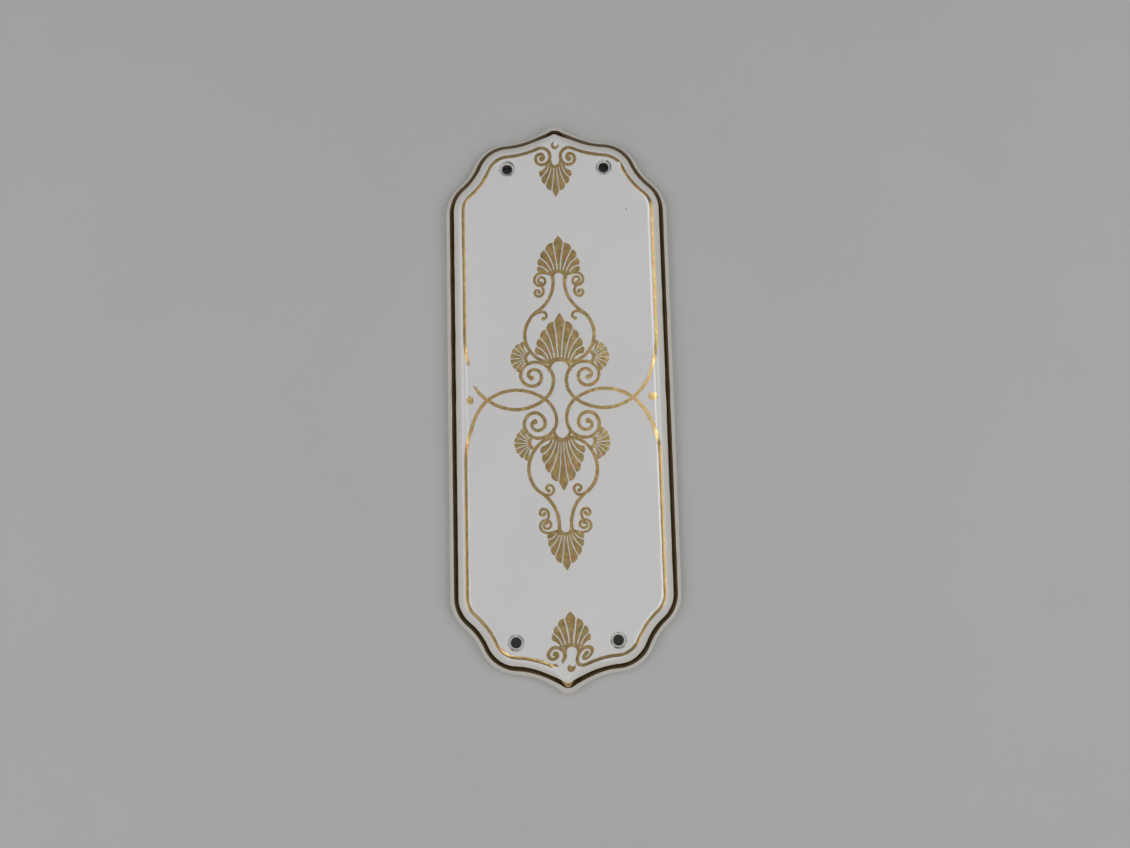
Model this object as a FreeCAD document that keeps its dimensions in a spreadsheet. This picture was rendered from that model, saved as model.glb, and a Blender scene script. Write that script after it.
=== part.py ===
"""Door finger plate: one piece of glazed porcelain with a fired-on gilt ornament.

Millimetres. The plate lies on its back: its back rim is on z = 0, +Z points out of
the front, +Y runs along its length and the origin is at the middle of the back.
The plate is modelled as one quarter and mirrored twice.
"""
import FreeCAD
import Part
import Sketcher
import math
import os
from collections import namedtuple

from FreeCAD import Vector

DRIVING_SIZES = (
    # Outline: a nose at each end, a flare, a shoulder, a notch and a corner
    ("plate_width", 84.0),
    ("plate_length", 213.1),
    ("nose_radius", 4.8),
    ("flare_radius", 27.6),
    ("shoulder_radius", 15.0),
    ("shoulder_across", 17.5),
    ("shoulder_along", 84.4),
    ("notch_radius", 21.4),
    ("corner_radius", 15.0),
    ("corner_along", 71.4),
    # Moulding: a square foot, then lip, cheek and ridge arcs up to the flat field
    ("foot_height", 1.4),
    ("lip_radius", 2.5),
    ("lip_slope", 52.0),
    ("cheek_radius", 15.0),
    ("cheek_slope", 27.0),
    ("ridge_radius", 4.0),
    # Hollow back, inside a rim that follows the outline
    ("back_rim_width", 4.2),
    ("hollow_depth", 2.8),
    ("hollow_slope_width", 1.6),
    # Four countersunk screw holes
    ("hole_pitch_across", 36.4),
    ("hole_pitch_along", 175.2),
    ("screw_hole_diameter", 4.2),
    ("countersink_diameter", 6.4),
    ("countersink_angle", 90.0),
    # Gilt layer, its rim band and its field line
    ("gilt_thickness", 0.1),
    ("band_inset", 2.6),
    ("band_width", 1.75),
    ("line_inset", 6.7),
    ("line_width", 1.15),
    ("curl_width", 1.1),
    ("eye_radius", 1.0),
    # The field line's way in from the sides: crossings, almonds and big scrolls
    ("crossing_from_axis", 5.55),
    ("crossing_from_line", 8.85),
    ("crossing_angle", 37.0),
    ("sweep_turn", 22.0),
    ("scroll_neck_radius", 8.9),
    ("scroll_back_radius", 6.9),
    ("scroll_radius", 5.0),
    ("scroll_ratio", 0.83),
    # The field line's scrolls at the ends
    ("end_scroll_from_axis", 2.0),
    ("end_scroll_back_radius", 3.7),
    ("end_scroll_radius", 2.2),
    ("end_scroll_ratio", 0.8),
    # Stems between the middle and the tip palmettes
    ("stem_neck_across", 2.1),
    ("stem_neck_along", 44.4),
    ("stem_neck_radius", 13.5),
    ("stem_bulge_across", 12.65),
    ("stem_bulge_along", 24.4),
    ("stem_head_turn", 10.0),
    ("stem_foot_turn", 80.0),
    # Curls beside each tip palmette
    ("tip_curl_across", 2.6),
    ("tip_curl_along", 46.7),
    ("tip_curl_lead_radius", 7.7),
    ("tip_curl_lead_turn", 25.0),
    ("tip_curl_radius", 2.6),
    ("tip_curl_ratio", 0.84),
    # Palmettes, each a fan of lobes on a small arch
    ("lobe_gap", 0.38),
    ("middle_palmette_along", 12.4),
    ("middle_palmette_reach", 20.1),
    ("middle_palmette_head", 17.0),
    ("middle_palmette_step", 13.7),
    ("middle_palmette_root", 2.3),
    ("middle_arch_radius", 3.1),
    ("tip_palmette_along", 46.2),
    ("tip_palmette_reach", 15.7),
    ("tip_palmette_head", 13.3),
    ("tip_palmette_step", 17.3),
    ("tip_palmette_root", 2.0),
    ("tip_arch_radius", 2.3),
    ("end_palmette_along", 90.5),
    ("end_palmette_reach", 13.6),
    ("end_palmette_head", 10.9),
    ("end_palmette_step", 17.8),
    ("end_palmette_root", 1.85),
    ("end_arch_radius", 1.9),
    ("lobe_ratio", 0.88),
    ("end_lobe_ratio", 0.85),
    # Side fans on the stems' feet
    ("fan_across", 11.8),
    ("fan_along", 15.8),
    ("fan_head", 5.4),
    ("fan_step", 24.0),
    ("fan_tilt", 6.0),
    ("fan_arch_radius", 1.8),
    # Dots at the ends and beside the outer crossings
    ("dot_radius", 1.45),
    ("end_dot_along", 96.8),
    ("side_dot_across", 33.4),
)

# Heights and widths that follow from the moulding's arcs
DERIVED_SIZES = (
    ("plate_height", "=foot_height + lip_radius * cos(lip_slope)"
                     " + cheek_radius * (cos(cheek_slope) - cos(lip_slope))"
                     " + ridge_radius * (1 - cos(cheek_slope))"),
)

# How far cutting shapes reach past the porcelain, and what counts as touching
CUT_MARGIN = 2.0
TOUCH = 0.001
# Lobes of each kind of fan
PALMETTE_LOBES = 9
END_PALMETTE_LOBES = 7
FAN_LOBES = 6
# How far a lobe's head stands out, as a share of its width
LOBE_BULGE = 0.22
# The ornament's bends and spots are drawn with chords that stay this near to the true curve
CHORD_ERROR = 0.15
WIDEST_TURN = 45.0
# Places where the gilding has worn away: across, along and radius
WORN_PLACES = (
    (-33.2, 8.3, 4.3),
    (23.8, 88.9, 1.5),
    (-3.0, -94.9, 1.0),
    (0.7, 97.2, 1.5),
    (-0.2, -95.7, 1.2),
)

Bend = namedtuple("Bend", "centre radius turn")
Piece = namedtuple("Piece", "start end bend")

document = FreeCAD.newDocument("finger_plate")
sheet = document.addObject("Spreadsheet::Sheet", "Sizes")
for row, (alias, content) in enumerate(DRIVING_SIZES + DERIVED_SIZES, start=1):
    sheet.set(f"A{row}", alias.replace("_", " "))
    sheet.set(f"B{row}", str(content))
    sheet.setAlias(f"B{row}", alias)
document.recompute()


def size(alias):
    """The number that the sheet holds under an alias."""
    return float(sheet.get(alias))


def bind(thing, target, expression):
    """Tie one property of an object, or one constraint of a sketch, to the sheet."""
    for alias, _ in sorted(DRIVING_SIZES + DERIVED_SIZES, key=lambda entry: -len(entry[0])):
        expression = expression.replace(f"[{alias}]", f"Sizes.{alias}")
    thing.setExpression(target, expression)


def polar(centre, reach, degrees):
    """The point at a reach and a direction from a centre, in the plan."""
    angle = math.radians(degrees)
    return centre + Vector(reach * math.cos(angle), reach * math.sin(angle), 0)


def direction(start, end):
    """The direction from one point to another, in degrees."""
    return math.degrees(math.atan2(end.y - start.y, end.x - start.x))


# Paths of tangent arcs

def meeting_point(first, first_reach, second, second_reach):
    """The point at given reaches from two centres, left of the way from first to second."""
    between = second - first
    along = (between.Length ** 2 + first_reach ** 2 - second_reach ** 2) / (2 * between.Length)
    aside = math.sqrt(first_reach ** 2 - along ** 2)
    unit = between / between.Length
    return first + unit * along + Vector(-unit.y, unit.x, 0) * aside


def joint(first, second):
    """The point where one bend runs smoothly into the next."""
    unit = (second.centre - first.centre).normalize()
    if first.turn == second.turn and first.radius < second.radius:
        unit = -unit
    return first.centre + unit * first.radius


def tangent_path(start, bends, end):
    """Pieces from start to end along bends that touch each other."""
    corners = [start]
    for first, second in zip(bends, bends[1:]):
        corners.append(joint(first, second))
    corners.append(end)
    return [Piece(a, b, bend) for a, b, bend in zip(corners, corners[1:], bends)]


def drawn_path(start, heading, turns):
    """Pieces drawn with a pen from start: each turn is a radius and degrees, left positive."""
    pieces = []
    for radius, degrees in turns:
        turn = math.copysign(1, degrees)
        centre = polar(start, radius, heading + 90 * turn)
        heading += degrees
        end = polar(centre, radius, heading - 90 * turn)
        pieces.append(Piece(start, end, Bend(centre, radius, turn)))
        start = end
    return pieces


def shifted(piece, left):
    """A piece moved sideways, to its left."""
    if piece.bend is None:
        way = (piece.end - piece.start).normalize()
        aside = Vector(-way.y, way.x, 0) * left
        return Piece(piece.start + aside, piece.end + aside, None)
    centre, radius, turn = piece.bend
    new_radius = radius - turn * left
    share = new_radius / radius
    start = centre + (piece.start - centre) * share
    end = centre + (piece.end - centre) * share
    return Piece(start, end, Bend(centre, new_radius, turn))


def reversed_piece(piece):
    """The same piece travelled the other way."""
    if piece.bend is None:
        return Piece(piece.end, piece.start, None)
    return Piece(piece.end, piece.start, piece.bend._replace(turn=-piece.bend.turn))


def chord_count(radius, sweep):
    """How many chords stand for an arc, given its sweep in degrees."""
    turn = math.degrees(2 * math.acos(max(0, 1 - CHORD_ERROR / radius)))
    return math.ceil(sweep / min(turn, WIDEST_TURN) - TOUCH)


def edges_of(piece):
    """The drawn lines of one piece: a bend along the outline is an arc, and others are chords."""
    if piece.bend is None:
        return [Part.makeLine(piece.start, piece.end)]
    centre, radius, turn = piece.bend
    first = direction(centre, piece.start)
    sweep = ((direction(centre, piece.end) - first) * turn) % 360
    if follows_outline(piece.bend):
        middle = polar(centre, radius, first + turn * sweep / 2)
        return [Part.Arc(piece.start, middle, piece.end).toShape()]
    count = chord_count(radius, sweep)
    inner = [polar(centre, radius, first + turn * sweep * number / count) for number in range(1, count)]
    points = [piece.start] + inner + [piece.end]
    return [Part.makeLine(one, two) for one, two in zip(points, points[1:])]


# Outline of the plate

def outline_bends(inset):
    """The bends of the first quarter, from the nose to the corner, moved in by an inset."""
    nose = Vector(0, size("plate_length") / 2 - size("nose_radius"), 0)
    shoulder = Vector(size("shoulder_across"), size("shoulder_along"), 0)
    corner = Vector(size("plate_width") / 2 - size("corner_radius"), size("corner_along"), 0)
    flare = meeting_point(nose, size("nose_radius") + size("flare_radius"),
                          shoulder, size("flare_radius") + size("shoulder_radius"))
    notch = meeting_point(shoulder, size("shoulder_radius") + size("notch_radius"),
                          corner, size("notch_radius") + size("corner_radius"))
    return [
        Bend(nose, size("nose_radius") - inset, -1),
        Bend(flare, size("flare_radius") + inset, 1),
        Bend(shoulder, size("shoulder_radius") - inset, -1),
        Bend(notch, size("notch_radius") + inset, 1),
        Bend(corner, size("corner_radius") - inset, -1),
    ]


def follows_outline(bend):
    """Whether a bend is one of the outline's own, moved in or out."""
    return any((bend.centre - own.centre).Length < TOUCH for own in outline_bends(0))


def quarter_outline(inset):
    """The edge of the first quarter from the nose's middle to the side's middle."""
    bends = outline_bends(inset)
    side = size("plate_width") / 2 - inset
    nose_top = bends[0].centre + Vector(0, bends[0].radius, 0)
    corner_end = bends[-1].centre + Vector(bends[-1].radius, 0, 0)
    return tangent_path(nose_top, bends, corner_end) + [Piece(corner_end, Vector(side, 0, 0), None)]


# The porcelain body

def origin_plane(body, role):
    """One of a body's own base planes."""
    return next(plane for plane in body.Origin.OriginFeatures if plane.Role == role)


def new_sketch(body, name, role):
    """An empty sketch on one of the body's own base planes."""
    sketch = body.newObject("Sketcher::SketchObject", name)
    sketch.AttachmentSupport = [(origin_plane(body, role), "")]
    sketch.MapMode = "FlatFace"
    return sketch


def sketch_arc(sketch, centre, radius, start_degrees, end_degrees):
    """Add an anticlockwise arc to a sketch."""
    circle = Part.Circle(centre, Vector(0, 0, 1), radius)
    return sketch.addGeometry(Part.ArcOfCircle(circle, math.radians(start_degrees), math.radians(end_degrees)))


def sketch_line(sketch, start, end):
    """Add a straight line to a sketch."""
    return sketch.addGeometry(Part.LineSegment(start, end))


def constrain(sketch, kind, *items):
    """Add a constraint that needs no value."""
    return sketch.addConstraint(Sketcher.Constraint(kind, *items))


def dimension(sketch, name, expression, kind, *items):
    """Add a named dimension, with its drawn value, and tie it to the sheet."""
    index = sketch.addConstraint(Sketcher.Constraint(kind, *items))
    sketch.renameConstraint(index, name)
    bind(sketch, f"Constraints.{name}", expression)


START, END, CENTRE = 1, 2, 3
ORIGIN = (-1, 1)


def outline_arcs(sketch, pieces):
    """Draw an outline's bends in a sketch and join them smoothly; gives their numbers."""
    numbers = []
    for piece in pieces:
        first, last = (piece.start, piece.end) if piece.bend.turn > 0 else (piece.end, piece.start)
        centre = piece.bend.centre
        numbers.append(sketch_arc(sketch, centre, piece.bend.radius,
                                  direction(centre, first), direction(centre, last)))
    for (one, piece), (two, following) in zip(zip(numbers, pieces), list(zip(numbers, pieces))[1:]):
        leaving = END if piece.bend.turn > 0 else START
        arriving = START if following.bend.turn > 0 else END
        constrain(sketch, "Tangent", one, leaving, two, arriving)
    return numbers


def close_quarter(sketch, corner_arc, corner_end, far_end):
    """Side, middle and axis lines from the corner arc back to the axis; gives the axis line."""
    side_foot = Vector(corner_end.x, 0, 0)
    side = sketch_line(sketch, corner_end, side_foot)
    middle = sketch_line(sketch, side_foot, Vector(0, 0, 0))
    axis = sketch_line(sketch, Vector(0, 0, 0), far_end)
    constrain(sketch, "Tangent", corner_arc, START, side, START)
    constrain(sketch, "Coincident", side, END, middle, START)
    constrain(sketch, "Coincident", middle, END, axis, START)
    constrain(sketch, "Coincident", axis, START, *ORIGIN)
    constrain(sketch, "Vertical", side)
    constrain(sketch, "Horizontal", middle)
    constrain(sketch, "Vertical", axis)
    return middle, axis


def draw_plate_outline(body):
    """The closed first quarter of the plate's outline."""
    sketch = new_sketch(body, "PlateOutline", "XY_Plane")
    pieces = quarter_outline(0)[:-1]
    nose, flare, shoulder, notch, corner = outline_arcs(sketch, pieces)
    middle, axis = close_quarter(sketch, corner, pieces[-1].end, pieces[0].start)
    constrain(sketch, "Coincident", axis, END, nose, END)
    constrain(sketch, "PointOnObject", nose, CENTRE, -2)
    dimension(sketch, "half_width", "[plate_width] / 2", "DistanceX", *ORIGIN, middle, START,
              size("plate_width") / 2)
    dimension(sketch, "half_length", "[plate_length] / 2", "DistanceY", *ORIGIN, axis, END,
              size("plate_length") / 2)
    for name, arc in (("nose", nose), ("flare", flare), ("shoulder", shoulder), ("notch", notch),
                      ("corner", corner)):
        dimension(sketch, f"{name}_arc", f"[{name}_radius]", "Radius", arc, size(f"{name}_radius"))
    dimension(sketch, "shoulder_x", "[shoulder_across]", "DistanceX", *ORIGIN, shoulder, CENTRE,
              size("shoulder_across"))
    dimension(sketch, "shoulder_y", "[shoulder_along]", "DistanceY", *ORIGIN, shoulder, CENTRE,
              size("shoulder_along"))
    dimension(sketch, "corner_y", "[corner_along]", "DistanceY", *ORIGIN, corner, CENTRE,
              size("corner_along"))
    return sketch


def draw_hollow_outline(body):
    """The closed first quarter of the hollow back, straight across below the nose."""
    sketch = new_sketch(body, "HollowOutline", "XY_Plane")
    rim = size("back_rim_width")
    pieces = quarter_outline(rim)[2:-1]
    shoulder_bend = pieces[0].bend
    top = shoulder_bend.centre + Vector(0, shoulder_bend.radius, 0)
    pieces[0] = pieces[0]._replace(start=top)
    shoulder, notch, corner = outline_arcs(sketch, pieces)
    across = sketch_line(sketch, Vector(0, top.y, 0), top)
    middle, axis = close_quarter(sketch, corner, pieces[-1].end, Vector(0, top.y, 0))
    constrain(sketch, "Coincident", axis, END, across, START)
    constrain(sketch, "Horizontal", across)
    constrain(sketch, "Tangent", across, END, shoulder, END)
    dimension(sketch, "half_width", "[plate_width] / 2 - [back_rim_width]", "DistanceX",
              *ORIGIN, middle, START, size("plate_width") / 2 - rim)
    dimension(sketch, "shoulder_arc", "[shoulder_radius] - [back_rim_width]", "Radius", shoulder,
              size("shoulder_radius") - rim)
    dimension(sketch, "notch_arc", "[notch_radius] + [back_rim_width]", "Radius", notch,
              size("notch_radius") + rim)
    dimension(sketch, "corner_arc", "[corner_radius] - [back_rim_width]", "Radius", corner,
              size("corner_radius") - rim)
    dimension(sketch, "shoulder_x", "[shoulder_across]", "DistanceX", *ORIGIN, shoulder, CENTRE,
              size("shoulder_across"))
    dimension(sketch, "shoulder_y", "[shoulder_along]", "DistanceY", *ORIGIN, shoulder, CENTRE,
              size("shoulder_along"))
    dimension(sketch, "corner_y", "[corner_along]", "DistanceY", *ORIGIN, corner, CENTRE,
              size("corner_along"))
    return sketch


def moulding_arcs(edge_at):
    """Lip, cheek and ridge as (centre, radius, first, last degrees), with the foot at edge_at."""
    spans = (("lip_radius", 0, 90 - size("lip_slope")),
             ("cheek_radius", 90 - size("lip_slope"), 90 - size("cheek_slope")),
             ("ridge_radius", 90 - size("cheek_slope"), 90))
    point = Vector(edge_at, size("foot_height"), 0)
    arcs = []
    for alias, first, last in spans:
        centre = polar(point, size(alias), first + 180)
        arcs.append((centre, size(alias), first, last))
        point = polar(centre, size(alias), last)
    return arcs


def draw_moulding_waste(body):
    """What the moulding takes off a square edge, as a section across the side."""
    sketch = new_sketch(body, "MouldingWaste", "XZ_Plane")
    edge_at = size("plate_width") / 2
    top = size("plate_height") + CUT_MARGIN
    lip, cheek, ridge = [sketch_arc(sketch, *arc) for arc in moulding_arcs(edge_at)]
    ridge_centre, ridge_radius = moulding_arcs(edge_at)[2][:2]
    foot = Vector(edge_at, size("foot_height"), 0)
    ridge_top = ridge_centre + Vector(0, ridge_radius, 0)
    corners = [ridge_top, Vector(ridge_top.x, top, 0), Vector(edge_at + CUT_MARGIN, top, 0),
               Vector(edge_at + CUT_MARGIN, foot.y, 0), foot]
    lines = [sketch_line(sketch, a, b) for a, b in zip(corners, corners[1:])]
    constrain(sketch, "Tangent", lip, END, cheek, START)
    constrain(sketch, "Tangent", cheek, END, ridge, START)
    constrain(sketch, "Coincident", ridge, END, lines[0], START)
    for one, two in zip(lines, lines[1:]):
        constrain(sketch, "Coincident", one, END, two, START)
    constrain(sketch, "Coincident", lines[3], END, lip, START)
    for line, kind in zip(lines, ("Vertical", "Horizontal", "Vertical", "Horizontal")):
        constrain(sketch, kind, line)
    constrain(sketch, "Horizontal", lip, CENTRE, lip, START)
    constrain(sketch, "Vertical", ridge, CENTRE, ridge, END)
    dimension(sketch, "lip_arc", "[lip_radius]", "Radius", lip, size("lip_radius"))
    dimension(sketch, "cheek_arc", "[cheek_radius]", "Radius", cheek, size("cheek_radius"))
    dimension(sketch, "ridge_arc", "[ridge_radius]", "Radius", ridge, size("ridge_radius"))
    dimension(sketch, "lip_span", "(90 - [lip_slope]) * 1 deg", "Angle", lip,
              math.radians(90 - size("lip_slope")))
    dimension(sketch, "cheek_span", "([lip_slope] - [cheek_slope]) * 1 deg", "Angle", cheek,
              math.radians(size("lip_slope") - size("cheek_slope")))
    dimension(sketch, "foot_x", "[plate_width] / 2", "DistanceX", *ORIGIN, lip, START, edge_at)
    dimension(sketch, "foot_z", "[foot_height]", "DistanceY", *ORIGIN, lip, START, foot.y)
    constrain(sketch, "DistanceY", lines[0], START, lines[0], END, CUT_MARGIN)
    constrain(sketch, "DistanceX", lip, START, lines[1], END, CUT_MARGIN)
    return sketch


def moulded_edges(outline):
    """The names of the outline's edges from the side to the flare, without the nose."""
    nose_end = quarter_outline(0)[0].end
    names = []
    for number, line in enumerate(outline.Shape.Edges, start=1):
        middle = line.valueAt((line.FirstParameter + line.LastParameter) / 2)
        if middle.x > nose_end.x and middle.y > CUT_MARGIN:
            names.append(f"Edge{number}")
    return names


def draw_nose_waste(body):
    """The same waste round the nose, stopped at the nose's own centre."""
    sketch = new_sketch(body, "NoseWaste", "YZ_Plane")
    bind(sketch, "AttachmentOffset.Base.x", "[plate_length] / 2 - [nose_radius]")
    edge_at = size("nose_radius")
    top = size("plate_height") + CUT_MARGIN
    point = Vector(edge_at, size("foot_height"), 0)
    corners = [Vector(edge_at + CUT_MARGIN, point.y, 0), point]
    for centre, radius, first, last in moulding_arcs(edge_at):
        at_axis = math.degrees(math.acos(max(-1, min(1, -centre.x / radius))))
        stop = min(last, at_axis)
        if stop <= first:
            break
        sketch_arc(sketch, centre, radius, first, stop)
        point = polar(centre, radius, stop)
    sketch_line(sketch, *corners)
    rest = [point, Vector(max(0, point.x), top, 0), Vector(edge_at + CUT_MARGIN, top, 0), corners[0]]
    for start, end in zip(rest, rest[1:]):
        sketch_line(sketch, start, end)
    return sketch


def edges_at_height(shape, height):
    """The names of the level edges at a height, without those on the mirror planes."""
    names = []
    for number, line in enumerate(shape.Edges, start=1):
        box = line.BoundBox
        level = abs(box.ZMin - height) < TOUCH and abs(box.ZMax - height) < TOUCH
        if level and box.XMax > TOUCH and box.YMax > TOUCH:
            names.append(f"Edge{number}")
    return names


def make_plate():
    """The porcelain: a quarter with its moulding, hollow back and screw hole, mirrored twice."""
    body = document.addObject("PartDesign::Body", "PorcelainPlate")
    body.Label = "porcelain_plate"

    outline = draw_plate_outline(body)
    slab = body.newObject("PartDesign::Pad", "Slab")
    slab.Profile = outline
    bind(slab, "Length", "[plate_height]")

    waste = draw_moulding_waste(body)
    document.recompute()
    moulding = body.newObject("PartDesign::SubtractivePipe", "Moulding")
    moulding.Profile = waste
    moulding.Spine = (outline, moulded_edges(outline))
    moulding.Mode = "Binormal"
    moulding.Binormal = Vector(0, 0, 1)

    nose_waste = draw_nose_waste(body)
    document.recompute()
    nose_cut = body.newObject("PartDesign::Groove", "NoseMoulding")
    nose_cut.Profile = nose_waste
    nose_cut.ReferenceAxis = (nose_waste, ["V_Axis"])
    nose_cut.Midplane = True
    nose_bend, flare_bend = outline_bends(0)[:2]
    nose_cut.Angle = 2 * (90 - direction(nose_bend.centre, flare_bend.centre))

    hollow_outline = draw_hollow_outline(body)
    document.recompute()
    hollow = body.newObject("PartDesign::Pocket", "HollowBack")
    hollow.Profile = hollow_outline
    hollow.Reversed = True
    bind(hollow, "Length", "[hollow_depth]")
    document.recompute()
    slope = body.newObject("PartDesign::Chamfer", "HollowSlope")
    slope.Base = (hollow, edges_at_height(hollow.Shape, size("hollow_depth")))
    bind(slope, "Size", "[hollow_slope_width]")
    document.recompute()

    hole_sketch = new_sketch(body, "HolePlace", "XY_Plane")
    bind(hole_sketch, "AttachmentOffset.Base.z", "[plate_height]")
    place = Vector(size("hole_pitch_across") / 2, size("hole_pitch_along") / 2, 0)
    circle = hole_sketch.addGeometry(Part.Circle(place, Vector(0, 0, 1), size("screw_hole_diameter") / 2))
    dimension(hole_sketch, "across", "[hole_pitch_across] / 2", "DistanceX", *ORIGIN, circle, CENTRE, place.x)
    dimension(hole_sketch, "along", "[hole_pitch_along] / 2", "DistanceY", *ORIGIN, circle, CENTRE, place.y)
    dimension(hole_sketch, "bore", "[screw_hole_diameter]", "Diameter", circle, size("screw_hole_diameter"))
    document.recompute()
    hole = body.newObject("PartDesign::Hole", "ScrewHole")
    hole.Profile = hole_sketch
    hole.ThreadType = "None"
    hole.DepthType = "ThroughAll"
    hole.HoleCutType = "Countersink"
    hole.HoleCutCustomValues = True
    bind(hole, "Diameter", "[screw_hole_diameter]")
    bind(hole, "HoleCutDiameter", "[countersink_diameter]")
    bind(hole, "HoleCutCountersinkAngle", "[countersink_angle]")
    document.recompute()

    for role, name in (("YZ_Plane", "AcrossHalf"), ("XZ_Plane", "WholePlate")):
        mirror = body.newObject("PartDesign::Mirrored", name)
        mirror.TransformMode = "Whole shape"
        mirror.MirrorPlane = (origin_plane(body, role), [""])
        body.Tip = mirror
        document.recompute()
    return body


# The gilt ornament, drawn in the plan

def ribbon(pieces, width):
    """A line of even width along a path, square at its ends."""
    left = [shifted(piece, width / 2) for piece in pieces]
    right = [reversed_piece(shifted(piece, -width / 2)) for piece in reversed(pieces)]
    around = left + [Piece(left[-1].end, right[0].start, None)]
    around += right + [Piece(right[-1].end, left[0].start, None)]
    return Part.Face(Part.Wire([line for piece in around for line in edges_of(piece)]))


def disc(centre, radius):
    """A small round spot."""
    count = chord_count(radius, 360)
    points = [polar(centre, radius, 360 * number / count) for number in range(count)]
    return Part.Face(Part.makePolygon(points + points[:1]))


def winding(radius, ratio, quarters, turn):
    """Quarter turns of a scroll, each smaller than the last."""
    return [(radius * ratio ** number, 90 * turn) for number in range(quarters)]


def end_way(side):
    """The field line from the end scroll, along the end and round the corner to the side."""
    bends = outline_bends(size("line_inset"))[1:]
    flare, corner = bends[0], bends[-1]
    radius = size("end_scroll_back_radius")
    across = size("end_scroll_from_axis") + radius
    reach = flare.radius + radius
    along = flare.centre.y - math.sqrt(reach ** 2 - (flare.centre.x - across) ** 2)
    back = Bend(Vector(across, along, 0), radius, -1)
    start = back.centre - Vector(radius, 0, 0)
    return tangent_path(start, [back] + bends, Vector(side, corner.centre.y, 0))


def middle_way(side):
    """The field line from the side through both crossings to the big scroll's back."""
    inner = Vector(size("crossing_from_axis"), 0, 0)
    outer = Vector(side - size("crossing_from_line"), 0, 0)
    slope = math.radians(size("crossing_angle"))
    almond_radius = (outer.x - inner.x) / 2 / math.sin(slope)
    almond = (inner + outer) / 2 + Vector(0, almond_radius * math.cos(slope), 0)
    leave = polar(almond, almond_radius, -size("sweep_turn"))
    turn = math.radians(size("sweep_turn"))
    sweep_radius = (side - leave.x) / (1 - math.cos(turn))
    sweep = Vector(side - sweep_radius, leave.y + sweep_radius * math.sin(turn), 0)
    neck_radius = size("scroll_neck_radius")
    neck = inner + (almond - inner) / almond_radius * neck_radius
    bends = [Bend(sweep, sweep_radius, -1), Bend(almond, almond_radius, -1), Bend(neck, neck_radius, -1)]
    return tangent_path(Vector(side, sweep.y, 0), bends, neck - Vector(neck_radius, 0, 0))


def field_line():
    """One unbroken line in each quarter, from the end scroll's eye to the big scroll's eye."""
    side = size("plate_width") / 2 - size("line_inset")
    along_end = end_way(side)
    inwards = middle_way(side)
    end_scroll = drawn_path(along_end[0].start, 270, [(size("end_scroll_back_radius"), 90)]
                            + winding(size("end_scroll_radius"), size("end_scroll_ratio"), 3, 1))
    big_scroll = drawn_path(inwards[-1].end, 90, [(size("scroll_back_radius"), -90)]
                            + winding(size("scroll_radius"), size("scroll_ratio"), 5, -1))
    down_side = [Piece(along_end[-1].end, inwards[0].start, None)]
    pieces = [reversed_piece(piece) for piece in reversed(end_scroll)]
    pieces += along_end + down_side + inwards + big_scroll
    eyes = [disc(pieces[0].start, size("eye_radius")), disc(pieces[-1].end, size("eye_radius"))]
    return [ribbon(pieces, size("line_width"))] + eyes


def stem():
    """The stem from a tip palmette, out round a bulge and in to the middle palmette."""
    across = size("stem_bulge_across") - size("stem_neck_across")
    along = size("stem_neck_along") - size("stem_bulge_along")
    neck_radius = size("stem_neck_radius")
    bulge_radius = (across ** 2 + along ** 2) / (2 * across) - neck_radius
    neck = Vector(size("stem_neck_across") + neck_radius, size("stem_neck_along"), 0)
    bulge = Vector(size("stem_bulge_across") - bulge_radius, size("stem_bulge_along"), 0)
    start = polar(neck, neck_radius, 180 - size("stem_head_turn"))
    end = polar(bulge, bulge_radius, -size("stem_foot_turn"))
    return ribbon(tangent_path(start, [Bend(neck, neck_radius, 1), Bend(bulge, bulge_radius, -1)], end),
                  size("line_width"))


def tip_curl():
    """The curl beside a tip palmette, led in by a gentler arc, with a round eye."""
    start = Vector(size("tip_curl_across"), size("tip_curl_along"), 0)
    turns = [(size("tip_curl_lead_radius"), -size("tip_curl_lead_turn"))]
    turns += winding(size("tip_curl_radius"), size("tip_curl_ratio"), 4, -1)
    pieces = drawn_path(start, size("tip_curl_lead_turn"), turns)
    return [ribbon(pieces, size("curl_width")), disc(pieces[-1].end, size("eye_radius"))]


def lobe(centre, axis, place, tops, step, root):
    """One lobe of a fan, between two slits; place counts steps from the fan's axis."""
    sides = []
    for side, top in zip((-1, 1), tops):
        angle = axis + (place + side / 2) * step
        inwards = polar(Vector(), -side * size("lobe_gap") / 2, angle + 90)
        sides.append([polar(centre, reach, angle) + inwards for reach in (root, top)])
    (foot_one, top_one), (foot_two, top_two) = sides
    bulge = (top_two - top_one).Length * LOBE_BULGE
    crown = (top_one + top_two) / 2 + polar(Vector(), bulge, direction(top_one, top_two) - 90)
    return [foot_one, top_one, crown, top_two, foot_two]


def fan(centre, axis, heads, step, root, arch_radius, tip_reach=None):
    """Lobes on a small arch at their roots; heads holds the reach of each slit between them."""
    faces = []
    for number, tops in enumerate(zip(heads, heads[1:])):
        place = number - (len(heads) - 2) / 2
        corners = lobe(centre, axis, place, tops, step, root)
        if tip_reach and place == 0:
            corners[2] = polar(centre, tip_reach, axis)
        faces.append(Part.Face(Part.makePolygon(corners + corners[:1])))
    arch = polar(centre, root - arch_radius, axis)
    start = polar(arch, arch_radius, axis + 90)
    end = polar(arch, arch_radius, axis - 90)
    faces.append(ribbon([Piece(start, end, Bend(arch, arch_radius, -1))], size("line_width")))
    return faces


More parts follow.
